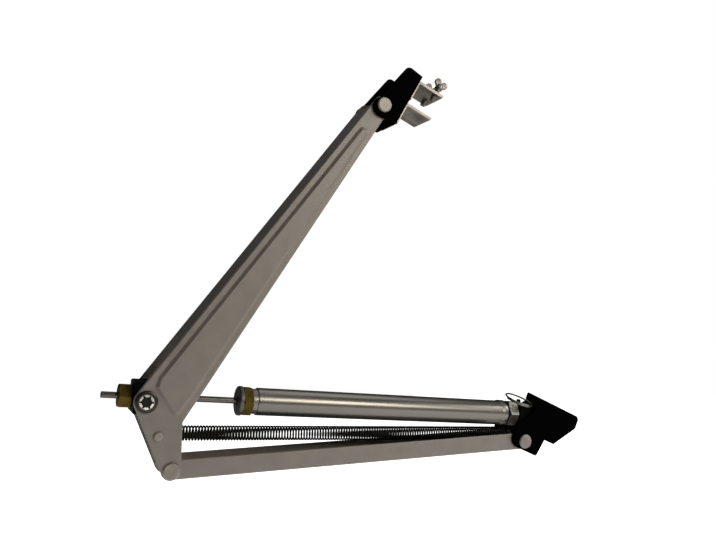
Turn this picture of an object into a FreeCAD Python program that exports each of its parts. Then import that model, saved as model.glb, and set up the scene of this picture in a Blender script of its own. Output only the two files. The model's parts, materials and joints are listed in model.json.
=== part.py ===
import FreeCAD, Part
import math
import os

Vector = FreeCAD.Vector

# Greenhouse vent opener, in millimetres. X runs along the lower arm, from its fold to the frame
# bracket, Z is up, and the flanges of the channels stand at -Y (front) and +Y (rear).
# The origin is the middle of the frame bracket's mounting face.

# Clearances
running_gap = 0.06        # a shaft in its hole, on the radius
side_gap = 0.5            # between a channel and the bracket that straddles it
washer_gap = 0.1          # each side of a thrust washer
overrun = 60.0            # how far a cutting shape reaches past the metal it cuts

# Sheet metal
arm_wall = 1.6
bracket_wall = 2.0
bend_radius = 1.2

# Lower arm, a channel that opens upward
lower_length = 330.3      # fold rivet to base rivet
lower_height = 15.3
lower_width = 30.0
lower_end = 7.65          # end radius round each rivet
lower_floor_stop = 24.0   # the floor ends this far before the base rivet

# Upper arm, a tapered channel with a knee
upper_angle = 59.5        # from the lower arm, as it stands
upper_length = 353.8      # fold rivet to vent rivet
upper_width = 36.0
knee_end = 7.65           # flange radius round the fold rivet
knee_boss = 9.6           # flange radius round the trunnion
knee_edge = 8.4           # the knee's straight edge, in front of the fold rivet
knee_round = 3.0          # hollow corner between that edge and the open edge
top_end = 8.7             # flange radius round the vent rivet
top_straight = 12.0       # the open edge stays straight up to here, before the vent rivet
web_start = 52.2          # height of the web above the arm's line, at web_foot
web_foot = 50.4
web_corner = 53.4         # the web's line begins here, above the trunnion
web_end = 55.0            # the web's lower end, clear of the guide block
web_taper = 8.15          # degrees that the web falls towards the vent rivet
open_start = 11.6         # height of the open edge, at open_foot
open_foot = 33.9
open_taper = 3.41
web_notch_end = 93.0      # the cylinder folds into this notch of the web
web_notch_width = 27.0
web_stop = 6.0            # the web ends this far before the vent rivet
panel_depth = 2.0         # how far the pressed panels stand out of the flanges
panel_slope = 2.6         # width of a panel's sloping side
panel_web_side = 5.3      # from the web's line to the panel's foot
panel_open_side = 4.7     # from the open edge to the panel's foot
panel_start = 57.0        # the panel's full width begins here
panel_tip = 322.0
panel_corner = 3.5
panel_toe = (40.5, 20.6)  # the panel's lower end, towards the fold rivet
panel_heel = (51.5, 41.0)

# Trunnion and spring pin, measured from the fold rivet along the knee
trunnion_reach = 57.4
knee_angle = 109.8        # of the knee's line, from the lower arm
spring_reach = 29.0
spring_angle = 110.5

# Rivets
rivet_radius = 3.0
rivet_head = 6.65
rivet_head_height = 2.0
spring_pin_radius = 2.5
spring_pin_head = 3.8
spring_pin_dome = 2.0

# Guide block on the trunnion
block_length = 12.4
block_height = 24.6
block_width = 31.0
block_chamfer = 0.8
rod_rise = 2.2            # the rod's axis lies this far above the trunnion pins
trunnion_radius = 4.0
trunnion_tip = 20.4       # end of the pin, from the middle
trunnion_depth = 7.5      # inner end of the pin, from the middle
star_radius = 8.6
star_slot = 5.4
star_thickness = 0.9
star_teeth = 6
star_slot_width = 1.6

# Cylinder, with distances along its axis from the trunnion; its tail is set by the base rivet
rod_radius = 2.5
rod_tip = -32.3
rod_inner_end = 112.0
rod_chamfer = 0.8
nut_far = -19.8
nut_flats = 17.0
nut_play = 0.3
nut_chamfer = 1.6
cap_start = 75.1
cap_radius = 12.15
gland_start = 78.5
gland_hex_end = 86.8
gland_flats = 22.0
gland_neck_radius = 10.4
gland_skirt_end = 94.0
tube_start = 91.0
tube_radius = 11.4
tube_wall = 1.6
bead_length = 7.0
bead_rise = 0.7
seal_length = 5.0
seal_radius = 5.5
piston_length = 9.0
piston_play = 0.3
wax_length = 142.0
plug_length = 17.4        # inside the tube
plug_shoulder = 1.7       # between the tube and the lock nut
stud_radius = 6.0
lock_length = 10.5
lock_flats = 22.0
axis_rise = 24.0          # cylinder axis above the base rivet

# Holder of the cylinder's tail
holder_before = 3.85      # the holder starts this far before the base rivet
holder_gap = 0.2          # between the lock nut and the holder
holder_length = 20.0
holder_width = 25.0
holder_round = 5.0
holder_top = 7.6
holder_bottom = 13.0      # below the axis
prong_inner = 8.0         # from the middle
prong_radius = 8.4
prong_end = 2.6           # the prongs reach this far below the base rivet
slot_along = 2.1          # travel left for the base rivet in the fork, along the cylinder
slot_across = 3.5

# Locking pin and its ring
lock_pin_radius = 2.0
lock_pin_offset = 4.0     # from the holder's face
lock_pin_side = -2.5      # in front of the axis
lock_pin_rise = 6.3       # above the holder
lock_pin_head = 3.2
lock_pin_low = -11.0
ring_radius = 12.7
ring_wire = 0.8
ring_tilt = 13.0          # degrees from the axis, down towards the bracket
ring_roll = 8.5           # degrees, down towards the front
ring_rise = 4.6           # above the holder
ring_offset = 3.2         # middle of the ring, from the pin
leg_rise = 4.6            # of the ring's straight leg, above the holder
leg_before = 7.0
leg_after = 9.5

# Frame bracket; along and height are measured from the base rivet, in its own tilted frame
frame_tilt = 24.5
frame_face_height = 44.0
frame_face_start = -14.7
frame_face_end = 51.3
frame_web_start = 12.4    # the face plate begins here, past the locking pin's ring
frame_cut_low = 8.0       # the rear cheek is cut down to here beside the ring
frame_corner = 4.0
frame_shoulder = 33.5
frame_step = 32.9
frame_step_height = 9.2
frame_lug_end = 17.5
frame_lug_bottom = -8.2
frame_lug_round = 8.5
frame_centre = 31.8       # the mounting screws lie either side of this point
frame_screw_spacing = 24.0
frame_screw_radius = 2.6

# Vent bracket; the same, measured from the vent rivet
vent_face_depth = 18.2
vent_face_start = -7.0
vent_face_end = 45.5
vent_ear = (-2.5, 0.3, 9.0)          # x, z and radius of the ear round the vent rivet
vent_hollow = (8.1, 13.9, -8.0)      # hollow corner above the cheek's straight top edge
vent_apex = (40.2, -6.0, 5.3)

# Sash clamp
jaw_wall = 2.5
jaw_reach = 27.8
jaw_width = 36.0
jaw_splay = 3.0           # how far each jaw's edge leans outward
lower_jaw_at = 17.9
lower_jaw_leg = -4.0
upper_jaw_at = 43.0
upper_jaw_leg = 23.0
jaw_rivet_radius = 2.0
jaw_rivet_head = 3.8
jaw_rivet_height = 1.4
jaw_rivet_side = 9.0
screw_radius = 2.5
screw_depth = 40.2        # of the screws, from the vent rivet
screw_side = 9.0
screw_tip = 38.0
screw_collar = 53.0
wing_span = 13.4
wing_height = 7.8
wing_lobe = 3.2
wing_saddle = 3.0
wing_thickness = 2.2

# Closing spring
spring_radius = 5.85
spring_wire = 0.85
spring_sleeve_gap = 9.0   # from each end's pin to the first coil
spring_far_gap = 11.0

# Derived places, as (x, z) pairs in the part's frame
tilt = math.radians(frame_tilt)
along_face = (math.cos(tilt), -math.sin(tilt))
off_face = (math.sin(tilt), math.cos(tilt))
base_pivot = (
    -frame_centre * along_face[0] - frame_face_height * off_face[0],
    -frame_centre * along_face[1] - frame_face_height * off_face[1],
)
fold_pivot = (base_pivot[0] - lower_length, base_pivot[1])


def polar(start, reach, degrees):
    """The point at this reach and direction from start."""
    turn = math.radians(degrees)
    return (start[0] + reach * math.cos(turn), start[1] + reach * math.sin(turn))


vent_pivot = polar(fold_pivot, upper_length, upper_angle)
trunnion = polar(fold_pivot, trunnion_reach, knee_angle)
spring_anchor = polar(fold_pivot, spring_reach, spring_angle)

to_base = (base_pivot[0] - trunnion[0], base_pivot[1] - trunnion[1])
base_distance = math.hypot(to_base[0], to_base[1])
base_drop = axis_rise - rod_rise
axis_angle = math.degrees(
    math.atan2(to_base[1], to_base[0]) + math.asin(base_drop / base_distance)
)
axis_start = polar(trunnion, rod_rise, axis_angle + 90)

# The cylinder's tail, along its axis, worked back from the base rivet
foot_distance = math.sqrt(base_distance ** 2 - base_drop ** 2)
holder_start = foot_distance - holder_before
lock_pin_place = holder_start + lock_pin_offset
lock_end = holder_start - holder_gap
lock_start = lock_end - lock_length
tube_end = lock_start - plug_shoulder
plug_start = tube_end - plug_length
wax_start = plug_start - wax_length


def belt(circles):
    """A face bounded by the belt round these (x, z, radius) circles, taken anticlockwise.
    A radius of nothing is a sharp corner, and a negative one is a hollow corner."""
    count = len(circles)
    normals = []
    for i in range(count):
        ax, az, ar = circles[i]
        bx, bz, br = circles[(i + 1) % count]
        span = math.hypot(bx - ax, bz - az)
        heading = math.atan2(bz - az, bx - ax)
        normals.append(heading - math.acos((ar - br) / span))
    edges = []
    for i in range(count):
        x, z, r = circles[i]
        before = normals[i - 1]
        after = normals[i]
        if r > 0:
            sweep = (after - before) % (2 * math.pi)
        else:
            sweep = -((before - after) % (2 * math.pi))
        if r != 0 and abs(sweep) > 1e-6:
            corner = []
            for turn in (before, before + sweep / 2, after):
                corner.append(Vector(x + r * math.cos(turn), 0, z + r * math.sin(turn)))
            edges.append(Part.Arc(corner[0], corner[1], corner[2]).toShape())
        nx, nz, nr = circles[(i + 1) % count]
        start = Vector(x + r * math.cos(after), 0, z + r * math.sin(after))
        end = Vector(nx + nr * math.cos(after), 0, nz + nr * math.sin(after))
        if start.distanceToPoint(end) > 1e-6:
            edges.append(Part.makeLine(start, end))
    return Part.Face(Part.Wire(edges))


def slab(circles, y_from, y_to):
    """The belt round the circles, extruded across the part."""
    face = belt(circles)
    face.translate(Vector(0, y_from, 0))
    return face.extrude(Vector(0, y_to - y_from, 0))


def box(x_from, x_to, y_from, y_to, z_from, z_to):
    return Part.makeBox(
        x_to - x_from, y_to - y_from, z_to - z_from, Vector(x_from, y_from, z_from)
    )


def cross_rod(x, z, radius, y_from, y_to):
    """A round bar across the part, or the tool for a hole."""
    return Part.makeCylinder(radius, y_to - y_from, Vector(x, y_from, z), Vector(0, 1, 0))


def turned(profile):
    """A turned piece about the local X axis, from (x, radius) points."""
    points = [Vector(x, 0, r) for x, r in profile]
    points.append(points[0])
    face = Part.Face(Part.makePolygon(points))
    return face.revolve(Vector(0, 0, 0), Vector(1, 0, 0), 360)


def wire_ring(radius, wire):
    """A ring of wire about the local Z axis, drawn with an eight-sided section."""
    points = []
    for i in range(9):
        turn = math.radians(45 * i + 22.5)
        points.append(Vector(radius + wire * math.cos(turn), 0, wire * math.sin(turn)))
    face = Part.Face(Part.makePolygon(points))
    return face.revolve(Vector(0, 0, 0), Vector(0, 0, 1), 360)


def hex_bar(x_from, x_to, flats, chamfer):
    """A hexagon bar along X with a turned chamfer at both ends."""
    corner = flats / math.sqrt(3)
    points = []
    for i in range(7):
        turn = math.radians(60 * i)
        points.append(Vector(x_from, corner * math.cos(turn), corner * math.sin(turn)))
    bar = Part.Face(Part.makePolygon(points)).extrude(Vector(x_to - x_from, 0, 0))
    low = flats / 2 - chamfer / 4
    cone = turned([
        (x_from, 0),
        (x_from, low),
        (x_from + chamfer, corner + chamfer / 4),
        (x_to - chamfer, corner + chamfer / 4),
        (x_to, low),
        (x_to, 0),
    ])
    return bar.common(cone)


def at(shape, pivot, degrees):
    """A copy of a shape drawn in its own frame, turned and set on its pivot."""
    moved = shape.copy()
    moved.rotate(Vector(0, 0, 0), Vector(0, 1, 0), -degrees)
    moved.translate(Vector(pivot[0], 0, pivot[1]))
    return moved


def both_sides(shape):
    """A shape drawn at the front, and its mirror image at the rear."""
    return [shape, shape.mirror(Vector(0, 0, 0), Vector(0, 1, 0))]


def keep(name, shape):
    shape.exportStep("parts/" + name + ".step")


def rivet(half_width, shank_radius, head_radius, head_height):
    """A rivet across the part, with a low domed head outside each flange."""
    shank = cross_rod(0, 0, shank_radius, -half_width, half_width)
    edge = 0.35 * head_height
    heads = []
    for side in (-1, 1):
        profile = [
            (0, 0),
            (head_radius, 0),
            (head_radius, edge),
            (head_radius - edge, head_height),
            (0, head_height),
        ]
        points = [Vector(r, side * (half_width + y), 0) for r, y in profile]
        points.append(points[0])
        face = Part.Face(Part.makePolygon(points))
        heads.append(face.revolve(Vector(0, 0, 0), Vector(0, 1, 0), 360))
    return shank.multiFuse(heads).removeSplitter()


def lower_arm():
    half = lower_width / 2
    low = -lower_height / 2
    high = lower_height / 2
    ends = [(0, 0, lower_end), (lower_length, 0, lower_end)]
    solid = slab(ends, -half, half)
    past = lower_length + overrun
    hollow = box(-overrun, past, -half + arm_wall, half - arm_wall, low + arm_wall, high + 1)
    ledge = box(-overrun, lower_end, -half + arm_wall, half - arm_wall, low - 1, high + 1)
    notch = box(
        lower_length - lower_floor_stop, past,
        -half + arm_wall, half - arm_wall, low - 1, high + 1,
    )
    channel = solid.cut(hollow).cut(ledge).cut(notch)
    long_edges = []
    for edge in channel.Edges:
        box_of = edge.BoundBox
        straight = box_of.XLength > lower_length * 0.7
        if straight and abs(box_of.ZMax - low) < 0.01 and abs(abs(box_of.YMax) - half) < 0.01:
            long_edges.append(edge)
    channel = channel.makeFillet(bend_radius, long_edges)
    hole = rivet_radius + running_gap
    for x in (0, lower_length):
        channel = channel.cut(cross_rod(x, 0, hole, -half - 1, half + 1))
    return channel


def web_height(along):
    return web_start - (along - web_foot) * math.tan(math.radians(web_taper))


def open_height(along):
    return open_start - (along - open_foot) * math.tan(math.radians(open_taper))


def arm_point(x, z):
    """A place given level with the lower arm, in the upper arm's own frame."""
    turn = math.radians(upper_angle)
    return (x * math.cos(turn) + z * math.sin(turn), z * math.cos(turn) - x * math.sin(turn))


def knee_hollow():
    """Middle of the hollow corner where the open edge meets the knee's straight edge."""
    turn = math.radians(upper_angle)
    slope = math.tan(math.radians(open_taper))
    reach = knee_edge + open_height(0) * math.sin(turn)
    along = reach / (math.cos(turn) + slope * math.sin(turn))
    half_turn = (90 - upper_angle + open_taper) / 2
    out = knee_round / math.cos(math.radians(half_turn))
    return polar((along, open_height(along)), out, half_turn - 90 - open_taper)


def upper_outline():
    """Circles of the upper arm's flange, in its own frame."""
    knee = arm_point(*polar((0, 0), trunnion_reach, knee_angle))
    corner = knee_hollow()
    straight_end = upper_length - top_straight
    return [
        (0, 0, knee_end),
        (corner[0], corner[1], -knee_round),
        (straight_end, open_height(straight_end), 0),
        (upper_length, 0, top_end),
        (web_corner, web_height(web_corner), 0),
        (knee[0], knee[1], knee_boss),
    ]


def panel_circles(grow):
    """The pressed panel on a flange, drawn larger or smaller by grow."""
    low = open_height(panel_start) + panel_open_side + panel_corner
    high = web_height(panel_start) - panel_web_side - panel_corner
    tip_low = open_height(panel_tip) + panel_open_side
    tip_high = web_height(panel_tip) - panel_web_side
    tip_radius = (tip_high - tip_low) / 2
    return [
        (panel_toe[0], panel_toe[1], panel_corner + grow),
        (panel_start, low, panel_corner + grow),
        (panel_tip, tip_low + tip_radius, tip_radius + grow),
        (panel_start, high, panel_corner + grow),
        (panel_heel[0], panel_heel[1], panel_corner + grow),
    ]


def upper_arm():
    half = upper_width / 2
    solid = slab(upper_outline(), -half, half)
    inner_half = half - arm_wall
    past = upper_length + overrun
    above = web_start + overrun
    inside = []
    for along, height in (
        (-overrun, -overrun),
        (past, -overrun),
        (past, web_height(past) - arm_wall),
        (web_end, web_height(web_end) - arm_wall),
        (web_end, above),
        (-overrun, above),
    ):
        inside.append(Vector(along, -inner_half, height))
    inside.append(inside[0])
    hollow = Part.Face(Part.makePolygon(inside)).extrude(Vector(0, 2 * inner_half, 0))
    channel = solid.cut(hollow)
    notch_half = web_notch_width / 2
    notch_low = open_start + arm_wall
    notch = box(0, web_notch_end - notch_half, -notch_half, notch_half, notch_low, above)
    notch_end = Part.makeCylinder(
        notch_half, above - notch_low, Vector(web_notch_end - notch_half, 0, notch_low)
    )
    channel = channel.cut(notch.fuse(notch_end))
    end_cut = box(
        upper_length - web_stop, past, -inner_half, inner_half, -overrun, overrun,
    )
    channel = channel.cut(end_cut)
    bends = []
    for edge in channel.Edges:
        size = edge.BoundBox
        far_side = size.YLength < 0.01 and abs(abs(size.YMax) - half) < 0.01
        long_edge = size.XLength > upper_length / 2
        if long_edge and far_side and size.ZMax > web_start / 2:
            bends.append(edge)
    channel = channel.makeFillet(bend_radius, bends)
    outer_wire = belt(panel_circles(0)).OuterWire
    inner_wire = belt(panel_circles(-panel_slope)).OuterWire
    for side in (-1, 1):
        foot = outer_wire.copy()
        foot.translate(Vector(0, side * half, 0))
        crown = inner_wire.copy()
        crown.translate(Vector(0, side * (half + panel_depth), 0))
        pad = Part.makeLoft([foot, crown], True)
        pocket = pad.copy()
        pocket.translate(Vector(0, -side * arm_wall, 0))
        channel = channel.fuse(pad).cut(pocket)
    knee = arm_point(*polar((0, 0), trunnion_reach, knee_angle))
    anchor = arm_point(*polar((0, 0), spring_reach, spring_angle))
    holes = (
        (0, 0, rivet_radius),
        (upper_length, 0, rivet_radius + running_gap),
        (anchor[0], anchor[1], spring_pin_radius),
        (knee[0], knee[1], trunnion_radius + running_gap),
    )
    for x, z, radius in holes:
        channel = channel.cut(cross_rod(x, z, radius, -half - 5, half + 5))
    return channel.removeSplitter()


def guide_block():
    half_length = block_length / 2
    half_width = block_width / 2
    block = box(-half_length, half_length, -half_width, half_width, -block_height / 2, block_height / 2)
    block = block.makeChamfer(block_chamfer, block.Edges)
    bore = turned([
        (-block_length, 0),
        (-block_length, rod_radius),
        (block_length, rod_radius),
        (block_length, 0),
    ])
    block = block.cut(bore)
    hole = cross_rod(0, -rod_rise, trunnion_radius, -half_width - 1, -trunnion_depth)
    for pin in both_sides(hole):
        block = block.cut(pin)
    return block


def trunnion_pins():
    pin = cross_rod(0, 0, trunnion_radius, -trunnion_tip, -trunnion_depth)
    end_edges = [e for e in pin.Edges if e.BoundBox.YMax < 0.01 - trunnion_tip]
    pin = pin.makeChamfer(0.6, end_edges)
    return Part.makeCompound(both_sides(pin))


def star_washers():
    start = upper_width / 2 + running_gap * 5
    dish = [
        (trunnion_radius, start + 1.5),
        (star_radius - 1.6, start + 0.9),
        (star_radius, start),
        (star_radius, start + star_thickness),
        (star_radius - 1.4, start + 0.9 + star_thickness),
        (trunnion_radius, start + 1.5 + star_thickness / 2),
    ]
    points = [Vector(r, -y, 0) for r, y in dish]
    points.append(points[0])
    washer = Part.Face(Part.makePolygon(points)).revolve(Vector(0, 0, 0), Vector(0, 1, 0), 360)
    slot_half = star_slot_width / 2
    slot = box(0, star_slot, -overrun, 0, -slot_half, slot_half)
    for i in range(star_teeth):
        cutter = slot.copy()
        cutter.rotate(Vector(0, 0, 0), Vector(0, 1, 0), 360.0 / star_teeth * i)
        washer = washer.cut(cutter)
    return Part.makeCompound(both_sides(washer))


def piston_rod():
    return turned([
        (rod_tip, 0),
        (rod_tip, rod_radius - rod_chamfer),
        (rod_tip + rod_chamfer, rod_radius),
        (rod_inner_end, rod_radius),
        (rod_inner_end, 0),
    ])


def adjusting_nut():
    nut = hex_bar(nut_far, -block_length / 2 - nut_play, nut_flats, nut_chamfer)
    hole = rod_radius + running_gap
    return nut.cut(turned([(nut_far - 1, 0), (nut_far - 1, hole), (0, hole), (0, 0)]))


def piston_head():
    outer = tube_radius - tube_wall - piston_play
    start = rod_inner_end - piston_length
    return turned([
        (start, rod_radius),
        (start, outer - 1.0),
        (start + 1.0, outer),
        (rod_inner_end - 3.0, outer),
        (rod_inner_end - 3.0, outer - 1.5),
        (rod_inner_end, outer - 1.5),
        (rod_inner_end, rod_radius),
    ])


def gland_cap():
    hole = rod_radius + 1.0
    return turned([
        (cap_start, hole),
        (cap_start, cap_radius - 1.2),
        (cap_start + 0.5, cap_radius - 0.35),
        (cap_start + 1.2, cap_radius),
        (gland_start, cap_radius),
        (gland_start, hole),
    ])


def gland_nut():
    hexagon = hex_bar(gland_start, gland_hex_end, gland_flats, 1.0)
    inner = tube_radius - tube_wall
    skirt = turned([
        (gland_hex_end, 0),
        (gland_hex_end, gland_neck_radius),
        (tube_start, gland_neck_radius),
        (tube_start, inner),
        (gland_skirt_end, inner),
        (gland_skirt_end, 0),
    ])
    bore = rod_radius + running_gap
    seat = gland_skirt_end - seal_length
    tool = turned([
        (gland_start - 1, 0),
        (gland_start - 1, bore),
        (seat, bore),
        (seat, seal_radius),
        (gland_skirt_end + 1, seal_radius),
        (gland_skirt_end + 1, 0),
    ])
    return hexagon.fuse(skirt).cut(tool).removeSplitter()


def rod_seal():
    seat = gland_skirt_end - seal_length
    bore = rod_radius + running_gap
    return turned([
        (seat, bore),
        (seat, seal_radius),
        (gland_skirt_end - 0.4, seal_radius),
        (gland_skirt_end - 0.4, bore + 0.8),
        (gland_skirt_end - 1.4, bore),
    ])


def cylinder_tube():
    inner = tube_radius - tube_wall
    bead = tube_end - bead_length
    return turned([
        (tube_start, inner),
        (tube_start, tube_radius - 0.6),
        (tube_start + 0.6, tube_radius),
        (bead, tube_radius),
        (bead + 1.0, tube_radius + bead_rise),
        (tube_end - 1.0, tube_radius + bead_rise),
        (tube_end, tube_radius),
        (tube_end, inner),
    ])


def wax_charge():
    inner = tube_radius - tube_wall
    return turned([(wax_start, 0), (wax_start, inner), (plug_start, inner), (plug_start, 0)])


def end_plug():
    inner = tube_radius - tube_wall
    tail = holder_start + holder_length - 4.0
    plug = turned([
        (plug_start, 0),
        (plug_start, inner),
        (tube_end, inner),
        (tube_end + 0.6, inner - 1.5),
        (lock_start, inner - 1.5),
        (lock_start, stud_radius),
        (tail - 1.0, stud_radius),
        (tail, stud_radius - 1.0),
        (tail, 0),
    ])
    return plug.cut(pin_hole())


def lock_nut():
    nut = hex_bar(lock_start, lock_end, lock_flats, 1.4)
    hole = turned([
        (lock_start - 1, 0),
        (lock_start - 1, stud_radius),
        (lock_end + 1, stud_radius),
        (lock_end + 1, 0),
    ])
    return nut.cut(hole)


def cylinder_holder():
    half = holder_width / 2
    start = holder_start
    end = start + holder_length
    body = slab([
        (start, -holder_bottom, 0),
        (end - holder_round, -holder_bottom + holder_round, holder_round),
        (end - holder_round, holder_top - holder_round, holder_round),
        (start, holder_top, 0),
    ], -half, half)
    prong = [
        (foot_distance, -axis_rise, prong_radius),
        (end - 3.0, -holder_bottom + 1.0, 0),
        (start + 2.6, -holder_bottom + 1.0, 0),
    ]
    outer = slab(prong, -half, half)
    low = -axis_rise - overrun
    gap = box(start - overrun, end + overrun, -prong_inner, prong_inner, low, -holder_bottom)
    body = body.fuse(outer.cut(gap)).removeSplitter()
    slot_half = rivet_radius + slot_along
    slot_top = -axis_rise + slot_across
    slot = slab([
        (foot_distance - slot_half + rivet_radius, slot_top, rivet_radius),
        (foot_distance - slot_half, low, 0),
        (foot_distance + slot_half, low, 0),
        (foot_distance + slot_half - rivet_radius, slot_top, rivet_radius),
    ], -half - 1, half + 1)
    foot = -axis_rise - prong_end
    below = box(start - overrun, end + overrun, -half - 1, half + 1, low, foot)
    bore = turned([(start - 1, 0), (start - 1, stud_radius), (end - 3.5, stud_radius), (end - 3.5, 0)])
    return body.cut(slot).cut(below).cut(bore).cut(pin_hole())


def pin_hole():
    """The locking pin's hole through the holder and the tail stud."""
    low = Vector(lock_pin_place, lock_pin_side, lock_pin_low - 0.4)
    return Part.makeCylinder(lock_pin_radius + running_gap, overrun, low)


def ring_leg():
    """The ring's straight leg, which is also the tool for its hole in the pin."""
    start = Vector(lock_pin_place - leg_before, lock_pin_side, holder_top + leg_rise)
    return Part.makeCylinder(ring_wire, leg_before + leg_after, start, Vector(1, 0, 0))


def locking_pin():
    top = holder_top + lock_pin_rise
    foot = Vector(lock_pin_place, lock_pin_side, lock_pin_low)
    shank = Part.makeCylinder(lock_pin_radius, top - lock_pin_low, foot)
    collar = Part.makeCylinder(
        lock_pin_head, 0.8, Vector(lock_pin_place, lock_pin_side, holder_top + 0.3)
    )
    shank = shank.makeChamfer(0.5, [e for e in shank.Edges if e.BoundBox.ZMin > top - 0.01])
    return shank.fuse(collar).removeSplitter().cut(ring_leg())


def pull_ring():
    """A ring of spring wire whose straight leg passes through the pin."""
    centre = Vector(lock_pin_place + ring_offset, 0, holder_top + ring_rise)
    ring = wire_ring(ring_radius, ring_wire)
    ring.rotate(Vector(0, 0, 0), Vector(1, 0, 0), ring_roll)
    ring.rotate(Vector(0, 0, 0), Vector(0, 1, 0), ring_tilt)
    ring.translate(centre)
    start = Vector(lock_pin_place - leg_before, lock_pin_side, holder_top + leg_rise)
    turn = math.radians(ring_tilt)
    left = centre + Vector(-ring_radius * math.cos(turn), 0, ring_radius * math.sin(turn))
    link = left - start
    bend = Part.makeCylinder(ring_wire * 0.97, link.Length, start, link)
    knuckle = Part.makeSphere(ring_wire * 1.06, start)
    return ring.multiFuse([ring_leg(), bend, knuckle]).removeSplitter()


def frame_bracket():
    half = lower_width / 2 + side_gap + bracket_wall
    inner = half - bracket_wall
    outline = [
        (frame_face_start + frame_lug_round, frame_lug_bottom + frame_lug_round, frame_lug_round),
        (frame_lug_end, frame_lug_bottom, 0),
        (frame_lug_end + 3.2, frame_step_height, 0),
        (frame_step, frame_step_height, 0),
        (frame_face_end - frame_corner, frame_shoulder, frame_corner),
        (frame_face_end - frame_corner, frame_face_height - frame_corner, frame_corner),
        (frame_face_start + 1.0, frame_face_height - 1.0, 1.0),
    ]
    solid = slab(outline, -half, half)
    past = frame_face_end + overrun
    under_face = frame_face_height - bracket_wall
    above = frame_face_height + 1
    bracket = solid.cut(box(-overrun, past, -inner, inner, -overrun, under_face))
    bends = []
    for edge in bracket.Edges:
        size = edge.BoundBox
        flat = abs(size.ZMax - frame_face_height) < 0.01 and size.ZLength < 0.01
        if flat and size.XLength > 30 and abs(abs(size.YMax) - half) < 0.01:
            bends.append(edge)
    bracket = bracket.makeFillet(bend_radius, bends)
    bracket = bracket.cut(box(-overrun, frame_web_start, -inner, inner, -overrun, above))
    bracket = bracket.cut(slab([
        (frame_face_start - 1, frame_cut_low, 0),
        (frame_web_start, above, 0),
        (frame_face_start - 1, above, 0),
    ], inner - 1, half + 1))
    for side in (-1, 1):
        x = frame_centre + side * frame_screw_spacing / 2
        bracket = bracket.cut(Part.makeCylinder(
            frame_screw_radius, 20, Vector(x, 0, frame_face_height - 10), Vector(0, 0, 1)
        ))
    return bracket.cut(cross_rod(0, 0, rivet_radius, -half - 1, half + 1))


def vent_bracket():
    half = upper_width / 2 + 2 * side_gap + bracket_wall
    inner = half - bracket_wall
    outline = [
        (vent_face_start, -vent_face_depth, 0),
        (vent_face_end - 1.0, -vent_face_depth + 1.0, 1.0),
        vent_apex,
        vent_hollow,
        vent_ear,
    ]
    solid = slab(outline, -half, half)
    past = vent_face_end + overrun
    hollow = box(-overrun, past, -inner, inner, -vent_face_depth + bracket_wall, overrun)
    bracket = solid.cut(hollow)
    bends = []
    for edge in bracket.Edges:
        size = edge.BoundBox
        flat = abs(size.ZMin + vent_face_depth) < 0.01 and size.ZLength < 0.01
        if flat and size.XLength > 30 and abs(abs(size.YMax) - half) < 0.01:
            bends.append(edge)
    bracket = bracket.makeFillet(bend_radius, bends)
    for x in jaw_rivet_places():
        for side in (-1, 1):
            bracket = bracket.cut(Part.makeCylinder(
                jaw_rivet_radius, 20, Vector(x, side * jaw_rivet_side, -vent_face_depth - 10), Vector(0, 0, 1)
            ))
    return bracket.cut(cross_rod(0, 0, rivet_radius, -half - 1, half + 1))


def jaw_rivet_places():
    """Middles of the two jaws' legs, along the vent bracket's face."""
    return ((lower_jaw_leg + lower_jaw_at) / 2, (upper_jaw_leg + upper_jaw_at) / 2)


def jaw(leg_end, corner, screws):
    """An angle plate with its leg flat on the bracket's face and its jaw standing off it."""
    face = -vent_face_depth
    half = jaw_width / 2
    lean = jaw_splay / jaw_reach
    outline = [
        (leg_end, face, 0),
        (leg_end, face - jaw_wall, 0),
        (corner - jaw_wall * (1 - lean), face - jaw_wall, 0),
        (corner - jaw_wall + jaw_splay, face - jaw_reach, 0),
        (corner + jaw_splay, face - jaw_reach, 0),
        (corner, face, 0),
    ]
    plate = slab(outline, -half, half)
    middle = (leg_end + corner) / 2
    for side in (-1, 1):
        plate = plate.cut(Part.makeCylinder(
            jaw_rivet_radius, 20, Vector(middle, side * jaw_rivet_side, face - 15), Vector(0, 0, 1)
        ))
        if screws:
            hole = Part.makeCylinder(
                screw_radius + running_gap, 30,
                Vector(corner - 15, side * screw_side, -screw_depth), Vector(1, 0, 0),
            )
            plate = plate.cut(hole)
    return plate


def jaw_rivets():
    inside = -vent_face_depth + bracket_wall
    outside = -vent_face_depth - jaw_wall
    rivets = []
    for x in jaw_rivet_places():
        for side in (-1, 1):
            y = side * jaw_rivet_side
            shank = Part.makeCylinder(jaw_rivet_radius, inside - outside, Vector(x, y, outside))
            top = Part.makeCone(jaw_rivet_head, jaw_rivet_head * 0.6, jaw_rivet_height, Vector(x, y, inside))
            bottom = Part.makeCone(
                jaw_rivet_head * 0.6, jaw_rivet_head, jaw_rivet_height,
                Vector(x, y, outside - jaw_rivet_height),
            )
            rivets.append(shank.multiFuse([top, bottom]).removeSplitter())
    return Part.makeCompound(rivets)


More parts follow.
